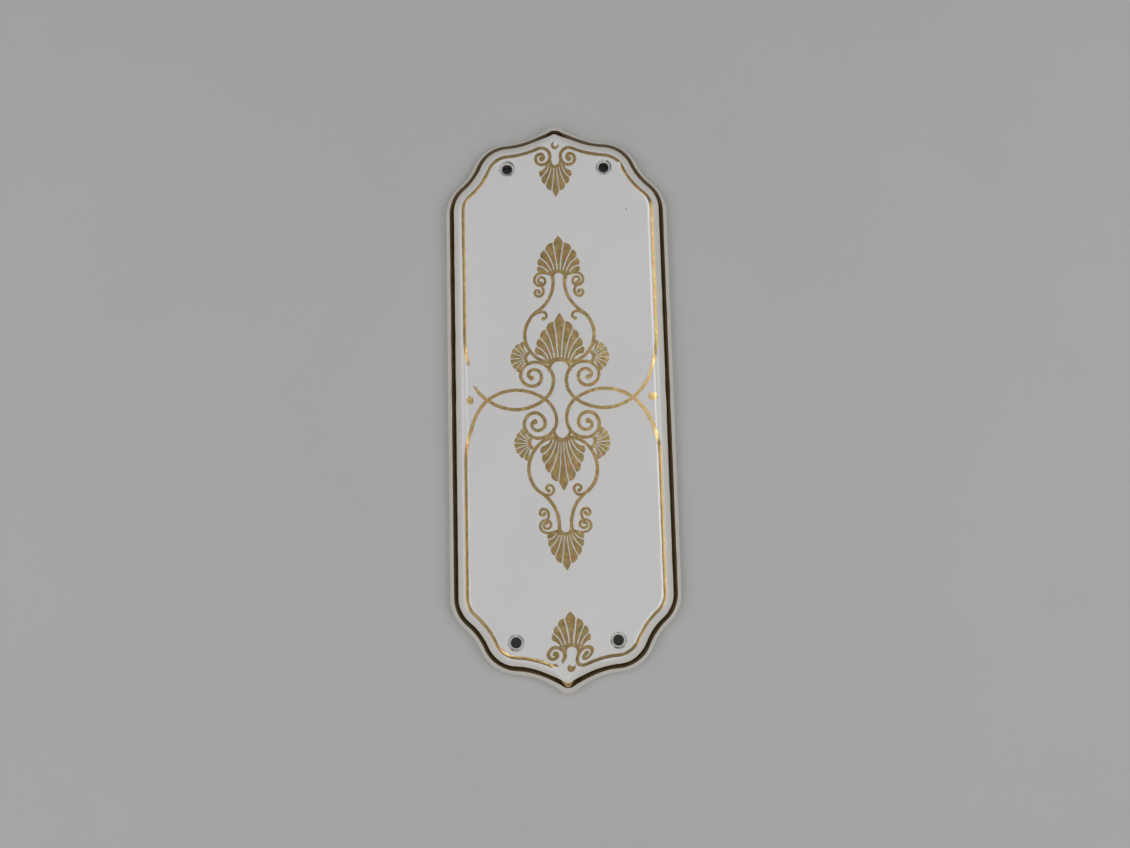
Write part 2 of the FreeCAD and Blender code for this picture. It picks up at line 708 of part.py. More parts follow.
def palmette(name, axis, ratio, count):
    """One of the named palmettes on the plate's long axis, with a pointed middle lobe."""
    centre = Vector(0, size(f"{name}_palmette_along"), 0)
    slits = [number - count / 2 for number in range(count + 1)]
    heads = [size(f"{name}_palmette_head") * ratio ** (abs(slit) - 0.5) for slit in slits]
    return fan(centre, axis, heads, size(f"{name}_palmette_step"), size(f"{name}_palmette_root"),
               size(f"{name}_arch_radius"), size(f"{name}_palmette_reach"))


def quarter_ornament():
    """Everything that is drawn four times, in the first quarter."""
    faces = [ribbon(quarter_outline(size("band_inset")), size("band_width")), stem()]
    faces += field_line()
    faces += tip_curl()
    fan_centre = Vector(size("fan_across"), size("fan_along"), 0)
    faces += fan(fan_centre, size("fan_tilt"), [size("fan_head")] * (FAN_LOBES + 1), size("fan_step"),
                 size("fan_arch_radius"), size("fan_arch_radius"))
    return faces


def half_ornament():
    """What stands on the long axis, in the half towards +Y."""
    faces = palmette("middle", 90, size("lobe_ratio"), PALMETTE_LOBES)
    faces += palmette("tip", 90, size("lobe_ratio"), PALMETTE_LOBES)
    faces += palmette("end", 270, size("end_lobe_ratio"), END_PALMETTE_LOBES)
    faces.append(disc(Vector(0, size("end_dot_along"), 0), size("dot_radius")))
    return faces


def gilt_pattern():
    """The whole ornament as flat faces, with the worn places left out."""
    middle = Vector()
    faces = quarter_ornament()
    faces.append(disc(Vector(size("side_dot_across"), 0, 0), size("dot_radius")))
    faces += [face.mirror(middle, Vector(1, 0, 0)) for face in faces]
    faces += half_ornament()
    faces += [face.mirror(middle, Vector(0, 1, 0)) for face in faces]
    joined = faces[0].multiFuse(faces[1:])
    worn = [disc(Vector(across, along, 0), radius) for across, along, radius in WORN_PLACES]
    return Part.makeShell(joined.cut(worn).Faces).removeSplitter()


def make_gilding(body):
    """The gilt layer: the pattern, carried up to the porcelain's surface and a little above it."""
    pattern = document.addObject("Part::Feature", "GiltPattern")
    pattern.Shape = gilt_pattern()
    prism = document.addObject("Part::Extrusion", "GiltPrism")
    prism.Base = pattern
    prism.DirMode = "Custom"
    prism.Dir = Vector(0, 0, 1)
    prism.Solid = True
    bind(prism, "LengthFwd", f"[plate_height] + {CUT_MARGIN}")
    raised = document.addObject("Part::Compound", "RaisedPlate")
    raised.Links = [body]
    bind(raised, "Placement.Base.z", "[gilt_thickness]")
    under_raised = document.addObject("Part::Common", "GiltBlock")
    under_raised.Base = prism
    under_raised.Tool = raised
    layer = document.addObject("Part::Cut", "Gilding")
    layer.Base = under_raised
    layer.Tool = body
    layer.Label = "gilding"
    document.recompute()
    return layer


def check(sub_parts):
    """Stop before anything is written if an object failed or a shape is not sound."""
    failed = [thing.Name for thing in document.Objects
              if "Invalid" in thing.State or "Error" in thing.State]
    if failed:
        raise ValueError(f"these objects failed: {failed}")
    for part in sub_parts:
        if part.Shape.isNull() or not part.Shape.isValid():
            raise ValueError(f"{part.Label} has no sound shape")


plate = make_plate()
gilding = make_gilding(plate)
check([plate, gilding])
os.makedirs("parts", exist_ok=True)
for part in (plate, gilding):
    part.Shape.exportStep(f"parts/{part.Label}.step")
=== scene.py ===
"""Looks of a door finger plate: white glazed porcelain with a worn, fired-on gilt ornament.

Sizes are in millimetres until a mesh is made. A point of the plan is a complex number,
across the plate plus along it. The ornament is drawn once and mirrored, then moved a
little, as a painter's hand would have it, and laid on the porcelain's own surface.
"""

import cmath
import math
from collections import namedtuple

import bmesh
import bpy
import numpy as np
from mathutils import Euler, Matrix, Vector, noise
from mathutils.geometry import delaunay_2d_cdt
from mathutils.kdtree import KDTree


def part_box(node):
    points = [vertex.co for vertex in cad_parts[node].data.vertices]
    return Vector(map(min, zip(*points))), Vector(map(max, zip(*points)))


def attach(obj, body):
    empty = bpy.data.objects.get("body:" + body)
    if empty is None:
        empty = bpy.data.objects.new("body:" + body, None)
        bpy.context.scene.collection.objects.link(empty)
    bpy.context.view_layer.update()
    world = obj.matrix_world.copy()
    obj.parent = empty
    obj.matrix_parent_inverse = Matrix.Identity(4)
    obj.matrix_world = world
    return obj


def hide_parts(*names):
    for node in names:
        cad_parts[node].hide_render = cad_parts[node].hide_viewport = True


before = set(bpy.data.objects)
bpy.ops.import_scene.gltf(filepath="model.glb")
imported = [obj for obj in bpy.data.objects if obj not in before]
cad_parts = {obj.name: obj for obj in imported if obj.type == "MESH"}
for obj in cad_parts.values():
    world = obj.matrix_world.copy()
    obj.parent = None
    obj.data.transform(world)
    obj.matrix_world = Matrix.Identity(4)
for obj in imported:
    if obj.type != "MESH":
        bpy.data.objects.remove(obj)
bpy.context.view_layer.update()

MM = 0.001
plate_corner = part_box("porcelain_plate")[1]
HALF_WIDTH = plate_corner.x / MM
HALF_LENGTH = plate_corner.y / MM
PLATE_HEIGHT = plate_corner.z / MM
GILT_THICKNESS = (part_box("gilding")[1].z - plate_corner.z) / MM

# Outline: radii and centres of its bends
NOSE_RADIUS = 4.8
FLARE_RADIUS = 27.6
SHOULDER_RADIUS = 15.0
SHOULDER = 17.5 + 84.4j
NOTCH_RADIUS = 21.4
CORNER_RADIUS = 15.0
CORNER_ALONG = 71.4
# Moulding: arcs of (radius, degrees where the arc ends, stations), from the foot up to the field
MOULDING_ARCS = ((2.5, 38.0, 10), (15.0, 63.0, 22), (4.0, 85.0, 12), (12.0, 90.0, 8))
FOOT_ROUND = 0.35
NOSE_SOFTNESS = 3.6
# Hollow back
BACK_RIM = 4.2
HOLLOW_DEPTH = 2.8
HOLLOW_SLOPE = 1.6
HOLLOW_BEND = 45.0
HOLLOW_SOFTNESS = 0.35
# Screw holes
HOLE = 18.2 + 87.6j
BORE_RADIUS = 1.9
COUNTERSINK_RADIUS = 3.2
COUNTERSINK_SLOPE = 45.0
COUNTERSINK_ROUND = 0.9

# How finely round things are drawn, and how near points are merged
OUTLINE_SPACING = 0.55
END_SPACING = 2 * OUTLINE_SPACING
SIDE_SPACING = 4 * OUTLINE_SPACING
NEAREST_SHARES = (0, 0.25, 0.5, 0.75)
ARC_STEP = 7.0
ROUND_STEPS = 56
FOOT_STEPS = 5
HOLLOW_STEPS = 4
COUNTERSINK_STEPS = 8
MERGE_DISTANCE = 0.002
SLIVER = 0.001

# Gilt layer: how far it goes down into the glaze, its rim band and its lines
GILT_SINK = 0.03
BAND_INSET = 2.6
BAND_WIDTH = 1.75
BAND_STATIONS = 9
BAND_WAVER = 0.16
BAND_WAVER_LENGTH = 7.0
FAR_NOSE_SHIFT = 1.9
NEAR_NOSE_SHIFT = 0.9
NOSE_SHIFT_WIDTH = 4.5
LINE_INSET = 6.7
LINE_WIDTH = 1.2
LINE_SPACING = 1.0
CURL_WIDTH = 0.95
EYE_RADIUS = 0.95
CURL_EYE_RADIUS = 0.68
DOT_RADIUS = 1.5
END_DOTS = (96.8j, 1.1 - 96.6j)
SIDE_DOT = 33.4
# The field line's crossings and scrolls
CROSSING_FROM_AXIS = 5.55
CROSSING_FROM_LINE = 8.85
CROSSING_ANGLE = 37.0
SWEEP_TURN = 22.0
SCROLL_NECK = 8.9
SCROLL_BACK = 6.9
SCROLL = 5.0
SCROLL_RATIO = 0.83
SCROLL_QUARTERS = 4
SCROLL_HEART = 2.0
SCROLL_HEART_RATIO = 0.6
END_SCROLL_FROM_AXIS = 2.0
END_SCROLL_BACK = 3.2
END_SCROLL = 2.2
END_SCROLL_RATIO = 0.86
END_SCROLL_QUARTERS = 2
END_SCROLL_HEART = 1.1
END_SCROLL_HEART_RATIO = 0.7
HEART_QUARTERS = 2
# Stems
STEM_NECK = 2.1 + 44.4j
STEM_NECK_RADIUS = 13.5
STEM_BULGE = 12.65 + 24.4j
STEM_HEAD_TURN = 10.0
STEM_FOOT_TURN = 80.0
# Small curls: where one starts, its heading after a gentle lead, the lead, and the winding
Curl = namedtuple("Curl", "start heading lead_radius lead_turn radius ratio quarters turn")
TIP_CURL = Curl(3.1 + 47.0j, 0, 7.7, 25, 2.7, 0.81, 6, -1)
TAIL_CURL = Curl(6.2 + 42.3j, 270, 3.3, 30, 1.85, 0.72, 4, 1)
FAR_INNER_CURL = Curl(9.2 + 31.9j, 180, 4.6, 40, 1.5, 0.75, 2, 1)
NEAR_INNER_CURL = Curl(8.6 + 32.9j, 180, 4.6, 40, 2.0, 0.75, 4, 1)
# Palmettes and side fans: lobes between slits, on a filled foot over a small arch
Fan = namedtuple("Fan", "centre axis tip head ratio step count gap"
                        " feet feet_radius feet_step arch arch_radius span")
MIDDLE_PALMETTE = Fan(12.4j, 90, 20.1, 17.0, 0.88, 14.3, 9, 0.5, 3.2, 8.6, 8.1, 2.3, 3.8, 90)
TIP_PALMETTE = Fan(46.2j, 90, 15.7, 13.2, 0.87, 17.4, 9, 0.48, 2.7, 8.6, 7.6, 2.0, 2.5, 90)
END_PALMETTE = Fan(90.5j, 270, 13.6, 11.3, 0.87, 18.2, 7, 0.45, 2.4, 7.0, 10.0, 1.85, 2.2, 90)
SIDE_FAN = Fan(11.6 + 15.8j, 7, None, 6.0, 1.0, 21.5, 7, 0.34, 1.2, 3.0, 10.5, 0.7, 2.2, 45)
PALMETTES = (MIDDLE_PALMETTE, TIP_PALMETTE, END_PALMETTE)
# Shares of their widths that the palmettes have in the far and in the near half
FAR_WIDTHS = (0.93, 1.0, 0.91)
NEAR_WIDTHS = (0.89, 0.82, 0.92)
# Lobes: how far they bow and bulge, and where their feet lie
FOOT_SPAN = 50
LOBE_BOW = 0.07
LOBE_BULGE = 0.2
LOBE_STEPS = 8
LOBE_ROOT = 0.25
TIP_BOW = 0.05
# The painter's hand: at places along the plate, the ornament's drift across, along and apart
DRIFT = ((-97.0, 1.6, -0.1, 0.2), (-84.0, 1.4, -0.1, 0.7), (-77.0, 1.25, -0.1, 0.5),
         (-62.0, 0.55, -0.7, 0.0), (-52.0, 0.4, -0.9, 0.0), (-46.0, 0.4, -1.6, 0.1),
         (-41.0, 0.35, -1.8, 0.1), (-30.0, 0.1, -1.5, 0.0), (-20.0, 0.05, -0.9, -0.45),
         (-10.0, 0.05, -0.8, -0.3), (0.0, -0.35, -0.5, 0.1), (8.0, -0.3, -0.5, 0.45),
         (15.0, -0.2, -0.75, 0.25), (32.0, 0.1, -0.85, 0.0), (61.0, 0.35, -0.85, 0.0),
         (77.0, -0.15, -0.75, -0.3), (97.0, 0.0, -0.7, 0.0))
APART_FADE = 2.0
# The field line's own drift across and along, which fades into the ornament's
LINE_DRIFT = ((-97.0, 0.0, 0.0), (-40.0, 0.1, 0.0), (0.0, 0.3, -0.2), (45.0, 0.5, -0.2),
              (75.0, 0.35, -0.4), (85.0, 0.1, -0.6), (97.0, 0.0, -0.5))
DRIFT_FADE = 6.0
WAVER = 0.09
WAVER_LENGTH = 4.5
# Worn patches: how ragged they are, then their places and radii
RAGGED = 0.35
RAGGED_TURNS = 2
WORN_PATCHES = ((-32.7 + 8.3j, 4.3), (23.4 + 88.1j, 1.25), (-3.0 - 94.9j, 1.0),
                (0.3 + 96.9j, 1.0), (1.6 - 95.05j, 1.2))
# How near points of the gilt layer become one, and from what angle an edge is sharp
GILT_TOUCH = 1e-4
SHARP_DEGREES = 35.0

# Clouds of noise: levels of detail, how rough they are, and the span that most of one fills
SMOOTH = 1.0
COARSE = 2.0
MIDDLING = 3.0
FINE = 4.0
FINEST = 5.0
CLOUD_ROUGHNESS = 0.55
MOST_OF_NOISE = (0.3, 0.7)
# Glaze: linear colours and cloud sizes in millimetres; its edge gets a painted shade, warmer and a
# little darker, between two heights
GLAZE_COOL = (0.66, 0.655, 0.66)
GLAZE_WARM = (0.69, 0.68, 0.665)
GLAZE_EDGE_SHADE = (0.675, 0.64, 0.59)
GLAZE_EDGE_SHADE_HEIGHTS = (7.2, 6.0)
GLAZE_CLOUD_SIZE = 45
GLAZE_ROUGHNESS = (0.05, 0.10)
GLAZE_ROUGHNESS_SIZE = 9
GLAZE_WAVES = 0.012
GLAZE_WAVE_SIZE = 7
GLAZE_RIPPLES = 0.012
GLAZE_RIPPLE_SIZE = 2.2
GLAZE_IOR = 1.5
# Kiln specks by place and radius, painted shade with grime in and round the holes, and the bare foot
SPECK_COLOUR = (0.03, 0.028, 0.025)
SPECK_CORE = 0.5
SPECKS = ((26.1 + 70.8j, 0.32),)
# Painted shade with grime: dark bores, and a dark ring in broken arcs in each countersink
SHADE_AND_GRIME_COLOUR = (0.035, 0.030, 0.026)
SHADE_AND_GRIME_SPREAD = 0.12
SHADE_AND_GRIME_PATCH_SIZE = 1.2
SHADE_AND_GRIME_PATCH_NOISE = (0.25, 0.6)
SHADE_AND_GRIME_LEAST = 0.6
SHADE_AND_GRIME_RING = 2.65
SHADE_AND_GRIME_RING_WIDTH = 0.42
SHADE_AND_GRIME_RING_SHARE = 0.95
SHADE_AND_GRIME_ARC_SIZE = 2.4
SHADE_AND_GRIME_ARC_NOISE = (0.40, 0.54)
BISCUIT_COLOUR = (0.60, 0.56, 0.50)
BISCUIT_ROUGHNESS = 0.75
# Gold: linear colours and cloud sizes in millimetres; the rim band gets a painted shade, a dark
# reflection that comes in between two heights
GOLD_DEEP = (0.28, 0.195, 0.083)
GOLD_BRIGHT = (0.455, 0.33, 0.153)
GOLD_RED = (0.39, 0.20, 0.093)
GOLD_OLIVE = (0.29, 0.265, 0.098)
GOLD_TONE_SIZE = 3.1
GOLD_TONE_NOISE = (0.32, 0.68)
GOLD_HUES = ((2.3, GOLD_RED), (3.7, GOLD_OLIVE), (0.5, GOLD_DEEP))
GOLD_HUE_NOISE = (0.48, 0.66)
GOLD_HUE_SHARE = 0.75
# Painted shade of the rim band: its dark colour, how much of it, and the heights where it comes in
BAND_SHADE_GOLD = (0.17, 0.11, 0.045)
BAND_SHADE_SHARE = 0.8
BAND_SHADE_HEIGHTS = (6.85, 6.55)
THIN_GOLD = (0.44, 0.37, 0.23)
THIN_SIZE = 2.2
THIN_ROUGHNESS = 0.65
THIN_NOISE = (0.66, 0.76)
THIN_METAL = 0.35
GOLD_ROUGHNESS = (0.14, 0.26)
GOLD_ROUGHNESS_SIZE = 1.5
GOLD_GRAIN = 0.004
GOLD_GRAIN_SIZE = 0.6
# Floor: linear colours, mottle in millimetres and size in metres
FLOOR_DARK = (0.465, 0.465, 0.46)
FLOOR_LIGHT = (0.475, 0.475, 0.47)
FLOOR_MOTTLE_SIZE = 60
FLOOR_ROUGHNESS = 0.7

FLOOR_SIZE = 4.0

# Room light at the horizon, at a share of the way up, and overhead
WORLD_HORIZON = 0.03
WORLD_LOW = (0.3, 0.10)
WORLD_ZENITH = 0.52
# Soft boxes in metres and watts: place, point aimed at, width, length, power; strips only glint
BOXES = {"left_box": ((-0.62, 0.0, 0.62), (0.0, 0.0, 0.0), 0.5, 0.9, 2.3),
         "right_box": ((0.62, 0.0, 0.62), (0.0, 0.0, 0.0), 0.5, 0.9, 2.5),
         "near_box": ((-0.1, -0.85, 0.55), (0.0, 0.0, 0.0), 0.3, 0.7, 1.0)}
STRIPS = {"left_strip": ((-0.20, 0.15, 1.0), (0.0, 0.15, 0.0), 0.06, 0.8, 0.65),
          "right_strip": ((0.22, 0.15, 1.0), (0.0, 0.15, 0.0), 0.10, 0.8, 1.5),
          "near_strip": ((-0.22, -0.45, 1.0), (-0.22, 0.0, 0.0), 0.06, 0.22, 0.35)}
# Camera of the photo, in millimetres, pixels and degrees
SENSOR_WIDTH = 36.0
IMAGE_WIDTH = 1130
FOCAL_PIXELS = 1000
CAMERA_PLACE = (-3.07, -55.75, 368.74)
CAMERA_TURN = (7.26, -0.48, -1.47)
CLIP_START = 10.0
# What counts as no distance at all
TOUCH = 1e-6


def polar(reach, degrees):
    """A step of a given reach in a given direction."""
    return cmath.rect(reach, math.radians(degrees))


def direction(step):
    """The direction of a step, in degrees."""
    return math.degrees(cmath.phase(step))


def within(value, low, high):
    """A value kept between two limits."""
    return min(high, max(low, value))


def eased(share):
    """A share from 0 to 1 that starts and ends gently."""
    share = within(share, 0, 1)
    return share * share * (3 - 2 * share)


# Outline of the plate

def meeting_point(first, first_reach, second, second_reach):
    """The point at given reaches from two centres, left of the way from first to second."""
    between = second - first
    along = (abs(between) ** 2 + first_reach ** 2 - second_reach ** 2) / (2 * abs(between))
    aside = math.sqrt(first_reach ** 2 - along ** 2)
    return first + between / abs(between) * complex(along, aside)


NOSE = complex(0, HALF_LENGTH - NOSE_RADIUS)
CORNER = complex(HALF_WIDTH - CORNER_RADIUS, CORNER_ALONG)
FLARE = meeting_point(NOSE, NOSE_RADIUS + FLARE_RADIUS, SHOULDER, FLARE_RADIUS + SHOULDER_RADIUS)
NOTCH = meeting_point(SHOULDER, SHOULDER_RADIUS + NOTCH_RADIUS, CORNER, NOTCH_RADIUS + CORNER_RADIUS)


def outline_bends(inset):
    """Centre, radius and turn of each bend of the first quarter, moved in by an inset."""
    return [(NOSE, NOSE_RADIUS - inset, -1), (FLARE, FLARE_RADIUS + inset, 1),
            (SHOULDER, SHOULDER_RADIUS - inset, -1), (NOTCH, NOTCH_RADIUS + inset, 1),
            (CORNER, CORNER_RADIUS - inset, -1)]


def joint(first, second):
    """The point where one bend runs smoothly into the next."""
    step = (second[0] - first[0]) / abs(second[0] - first[0])
    if first[2] == second[2] and first[1] < second[1]:
        step = -step
    return first[0] + step * first[1]


def arc(centre, start, end, turn, spacing=None):
    """Points after the start of an arc, up to its end; turn is 1 for left and -1 for right."""
    radius = abs(start - centre)
    first = direction(start - centre)
    sweep = ((direction(end - centre) - first) * turn) % 360
    steps = math.ceil(sweep / ARC_STEP)
    if spacing:
        steps = max(steps, math.ceil(math.radians(sweep) * radius / spacing))
    return [centre + polar(radius, first + turn * sweep * number / steps)
            for number in range(1, steps + 1)]


def along_bends(start, bends, end, spacing=None):
    """Points from start to end along bends that touch each other."""
    corners = [joint(one, two) for one, two in zip(bends, bends[1:])] + [end]
    points = [start]
    for (centre, _, turn), corner in zip(bends, corners):
        points += arc(centre, points[-1], corner, turn, spacing)
    return points


def straight(start, end, spacing):
    """Points after the start of a straight run, up to its end."""
    steps = max(1, math.ceil(abs(end - start) / spacing))
    return [start + (end - start) * number / steps for number in range(1, steps + 1)]


def bezier(start, pull, end, steps):
    """Points after the start of a bent edge that is pulled towards a point."""
    shares = [number / steps for number in range(1, steps + 1)]
    return [start * (1 - t) ** 2 + pull * 2 * t * (1 - t) + end * t ** 2 for t in shares]


def first_quarter():
    """The outline from the nose's middle to the side's middle."""
    corner_end = CORNER + CORNER_RADIUS
    points = along_bends(NOSE + 1j * NOSE_RADIUS, outline_bends(0), corner_end, OUTLINE_SPACING)
    return points + straight(corner_end, complex(HALF_WIDTH, 0), SIDE_SPACING)


def whole_loop(quarter):
    """Four mirrored quarters as one closed loop, clockwise from the first point on the axis."""
    right = quarter + [point.conjugate() for point in reversed(quarter[:-1])]
    left = [-point.conjugate() for point in reversed(right[1:-1])]
    return np.array(right + left)


def inward_normals(loop):
    """The direction into the plate at each point of a clockwise loop."""
    way = np.roll(loop, -1) - np.roll(loop, 1)
    return -1j * way / np.abs(way)


OUTLINE = whole_loop(first_quarter())
INWARD = inward_normals(OUTLINE)


# The front's surface, from the distance to the outline

def side_tree(side):
    """The outline's points on one side of the long axis, for finding the nearest."""
    fine = [point + (after - point) * share for point, after in zip(OUTLINE, np.roll(OUTLINE, -1))
            for share in NEAREST_SHARES if point.real * side >= -TOUCH]
    tree = KDTree(len(fine))
    for number, point in enumerate(fine):
        tree.insert((point.real, point.imag, 0), number)
    tree.balance()
    return tree


RIGHT_TREE = side_tree(1)
LEFT_TREE = side_tree(-1)


def inset_of(point):
    """How far inside the outline a point is, with the ridge behind each nose softened."""
    place = (point.real, point.imag, 0)
    right = RIGHT_TREE.find(place)[2]
    left = LEFT_TREE.find(place)[2]
    nearest = min(left, right)
    softness = NOSE_SOFTNESS * eased((nearest - NOSE_RADIUS / 2) / (NOSE_RADIUS / 2))
    if softness <= abs(left - right):
        return nearest
    return nearest - (softness - abs(left - right)) ** 2 / (4 * softness)


def moulding():
    """Stations of the front's section as (inset, height), from the foot to the field."""
    stations = [(0.0, 0.0)]
    angle = 0.0
    for radius, last, steps in MOULDING_ARCS:
        inset, height = stations[-1]
        start = math.radians(angle)
        for number in range(1, steps + 1):
            turn = math.radians(angle + (last - angle) * number / steps)
            stations.append((inset + radius * (math.cos(start) - math.cos(turn)),
                             height + radius * (math.sin(turn) - math.sin(start))))
        angle = last
    foot = PLATE_HEIGHT - stations[-1][1]
    return [(inset, height + foot) for inset, height in stations]


MOULDING = moulding()


def front_height(inset):
    """The height of the porcelain's front at an inset."""
    station, first = 0, 0.0
    for radius, last, steps in MOULDING_ARCS:
        start_inset, start_height = MOULDING[station]
        cosine = math.cos(math.radians(first)) - (inset - start_inset) / radius
        if cosine >= math.cos(math.radians(last)) - TOUCH:
            angle = math.acos(within(cosine, 0, 1))
            return start_height + radius * (math.sin(angle) - math.sin(math.radians(first)))
        station += steps
        first = last
    return PLATE_HEIGHT


def surface(point):
    """The height of the porcelain's front under a point of the plan."""
    return front_height(max(0.0, inset_of(point)))


def inset_loop(inset):
    """The outline moved in; behind each nose, what would cross the long axis stays on it."""
    loop = OUTLINE + INWARD * inset
    if inset <= NOSE_RADIUS:
        return loop
    reach = FLARE_RADIUS + inset
    on_axis = FLARE.imag - math.sqrt(reach ** 2 - FLARE.real ** 2)
    near_end = np.abs(OUTLINE.imag) > CORNER_ALONG
    crossed = near_end & (loop.real * np.sign(OUTLINE.real) <= TOUCH)
    loop[crossed] = 1j * on_axis * np.sign(OUTLINE.imag[crossed])
    return loop


# Meshes

def add_object(name, data):
    """A new object in the scene."""
    thing = bpy.data.objects.new(name, data)
    bpy.context.scene.collection.objects.link(thing)
    return thing


def area(loop):
    """The area inside a closed loop of plan points, positive where it runs anticlockwise."""
    loop = np.array(loop)
    return float(np.sum(np.conj(loop) * np.roll(loop, -1)).imag) / 2


class Skin:
    """Points and faces of one mesh, in millimetres."""

    def __init__(self):
        self.points = []
        self.faces = []

    def ring(self, loop, heights):
        """Add a loop of plan points at their heights; gives the numbers of its points."""
        first = len(self.points)
        self.points += [(point.real, point.imag, height) for point, height in zip(loop, heights)]
        return list(range(first, len(self.points)))

    def level_ring(self, loop, height):
        """Add a loop of plan points at one height."""
        return self.ring(loop, [height] * len(loop))

    def join(self, one, two):
        """Close the strip between two loops of equal length."""
        for number in range(len(one)):
            after = (number + 1) % len(one)
            self.faces.append((one[number], one[after], two[after], two[number]))

    def sheet(self, loops, facing):
        """A level sheet inside the first of some loops, with the others as holes in it."""
        numbers = [number for loop in loops for number in loop]
        places = [Vector(self.points[number][:2]) for number in numbers]
        outlines = []
        for loop in loops:
            first = sum(len(outline) for outline in outlines)
            outline = list(range(first, first + len(loop)))
            outlines.append(outline if area([complex(*places[number]) for number in outline]) > 0
                            else outline[::-1])
        _, _, faces, originals, _, sources = delaunay_2d_cdt(places, [], outlines, 1, TOUCH)
        for face, inside in zip(faces, sources):
            if set(inside) == {0}:
                corners = [numbers[originals[corner][0]] for corner in face]
                self.faces.append(tuple(corners if facing > 0 else reversed(corners)))

    def object(self, name, material):
        """The finished object, with doubled points merged and faces pointing outwards."""
        mesh = bpy.data.meshes.new(name)
        mesh.from_pydata([Vector(point) * MM for point in self.points], [], self.faces)
        shape = bmesh.new()
        shape.from_mesh(mesh)
        bmesh.ops.remove_doubles(shape, verts=shape.verts, dist=MERGE_DISTANCE * MM)
        bmesh.ops.dissolve_degenerate(shape, edges=shape.edges, dist=SLIVER * MM)
        bmesh.ops.recalc_face_normals(shape, faces=shape.faces)
        shape.to_mesh(mesh)
        shape.free()
        mesh.materials.append(material)
        return add_object(name, mesh)


def smooth(thing, sharp_degrees):
    """Smooth shading that keeps flat faces flat and edges past an angle sharp."""
    thing.data.shade_smooth()
    thing.data.set_sharp_from_angle(angle=math.radians(sharp_degrees))
    modifier = thing.modifiers.new("even_normals", "WEIGHTED_NORMAL")
    modifier.keep_sharp = True


def circle(centre, radius, steps=ROUND_STEPS):
    """Points of a circle."""
    return [centre + polar(radius, 360 * number / steps) for number in range(steps)]


def hole_places():
    """The four screw holes."""
    return [HOLE, HOLE.conjugate(), -HOLE, -HOLE.conjugate()]


def hollow_loop():
    """The edge of the hollow back: the outline moved in, straight across below each nose."""
    bends = outline_bends(BACK_RIM)[2:]
    top = SHOULDER + 1j * bends[0][1]
    corner_end = CORNER + bends[-1][1]
    on_axis = complex(0, top.imag)
    quarter = [on_axis] + straight(on_axis, top, END_SPACING)[:-1]
    quarter += along_bends(top, bends, corner_end, OUTLINE_SPACING)
    quarter += straight(corner_end, complex(corner_end.real, 0), SIDE_SPACING)
    return whole_loop(quarter)


def hollow_section():
    """Stations up the hollow's wall and slope as (inset, height), softened where they turn."""
    wall = HOLLOW_DEPTH - HOLLOW_SLOPE
    reach = HOLLOW_SOFTNESS / math.tan(math.radians(90 - HOLLOW_BEND / 2))
    stations = []
    for inset, height, heading in ((0, wall, 90), (HOLLOW_SLOPE, HOLLOW_DEPTH, HOLLOW_BEND)):
        start = complex(inset, height) - reach * polar(1, heading)
        end = complex(inset, height) + reach * polar(1, heading - HOLLOW_BEND)
        bend = [start] + bezier(start, complex(inset, height), end, HOLLOW_STEPS)
        stations += [(point.real, point.imag) for point in bend]
    return stations


def countersink(skin, place):
    """One screw hole from the field to the hollow; gives its top and bottom loops."""
    slope = math.radians(COUNTERSINK_SLOPE)
    mouth = COUNTERSINK_RADIUS + COUNTERSINK_ROUND * math.tan(slope / 2)
    top = skin.level_ring(circle(place, mouth), PLATE_HEIGHT)
    upper = top
    for number in range(1, COUNTERSINK_STEPS + 1):
        turn = slope * number / COUNTERSINK_STEPS
        loop = circle(place, mouth - COUNTERSINK_ROUND * math.sin(turn))
        lower = skin.level_ring(loop, PLATE_HEIGHT - COUNTERSINK_ROUND * (1 - math.cos(turn)))
        skin.join(upper, lower)
        upper = lower
    bore_top = PLATE_HEIGHT - (COUNTERSINK_RADIUS - BORE_RADIUS)
    for height in (bore_top, (bore_top + HOLLOW_DEPTH) / 2, HOLLOW_DEPTH):
        lower = skin.level_ring(circle(place, BORE_RADIUS), height)
        skin.join(upper, lower)
        upper = lower
    return top, upper


def make_porcelain(material):
    """The plate's whole skin: foot, moulding, field, screw holes and hollow back."""
    skin = Skin()
    rim = skin.level_ring(OUTLINE + INWARD * FOOT_ROUND, 0)
    lower = rim
    for number in range(1, FOOT_STEPS + 1):
        turn = math.radians(90) * number / FOOT_STEPS
        upper = skin.level_ring(OUTLINE + INWARD * FOOT_ROUND * (1 - math.sin(turn)),
                                FOOT_ROUND * (1 - math.cos(turn)))
        skin.join(lower, upper)
        lower = upper
    for inset, _ in MOULDING:
        loop = inset_loop(inset)
        upper = skin.ring(loop, [surface(point) for point in loop])
        skin.join(lower, upper)
        lower = upper
    holes = [countersink(skin, place) for place in hole_places()]
    skin.sheet([lower] + [top for top, _ in holes], 1)

    hollow = hollow_loop()
    into_hollow = inward_normals(hollow)
    edge = skin.level_ring(hollow, 0)
    skin.sheet([rim, edge], -1)
    lower = edge
    for inset, height in hollow_section():
        upper = skin.level_ring(hollow + into_hollow * inset, height)
        skin.join(lower, upper)
        lower = upper
    skin.sheet([lower] + [bottom for _, bottom in holes], -1)
    return skin.object("glazed_plate", material)


# The gilt ornament, drawn in the plan

def drawn(start, heading, turns):
    """Points of a line drawn with a pen: each turn is a radius and degrees, left positive."""
    points = [start]
    for radius, degrees in turns:
        turn = math.copysign(1, degrees)
        centre = points[-1] + polar(radius, heading + 90 * turn)
        heading += degrees
        points += arc(centre, points[-1], centre + polar(radius, heading - 90 * turn), turn)
    return points


def winding(radius, ratio, quarters, turn):
    """Quarter turns of a scroll, each smaller than the last."""
    return [(radius * ratio ** number, 90 * turn) for number in range(quarters)]


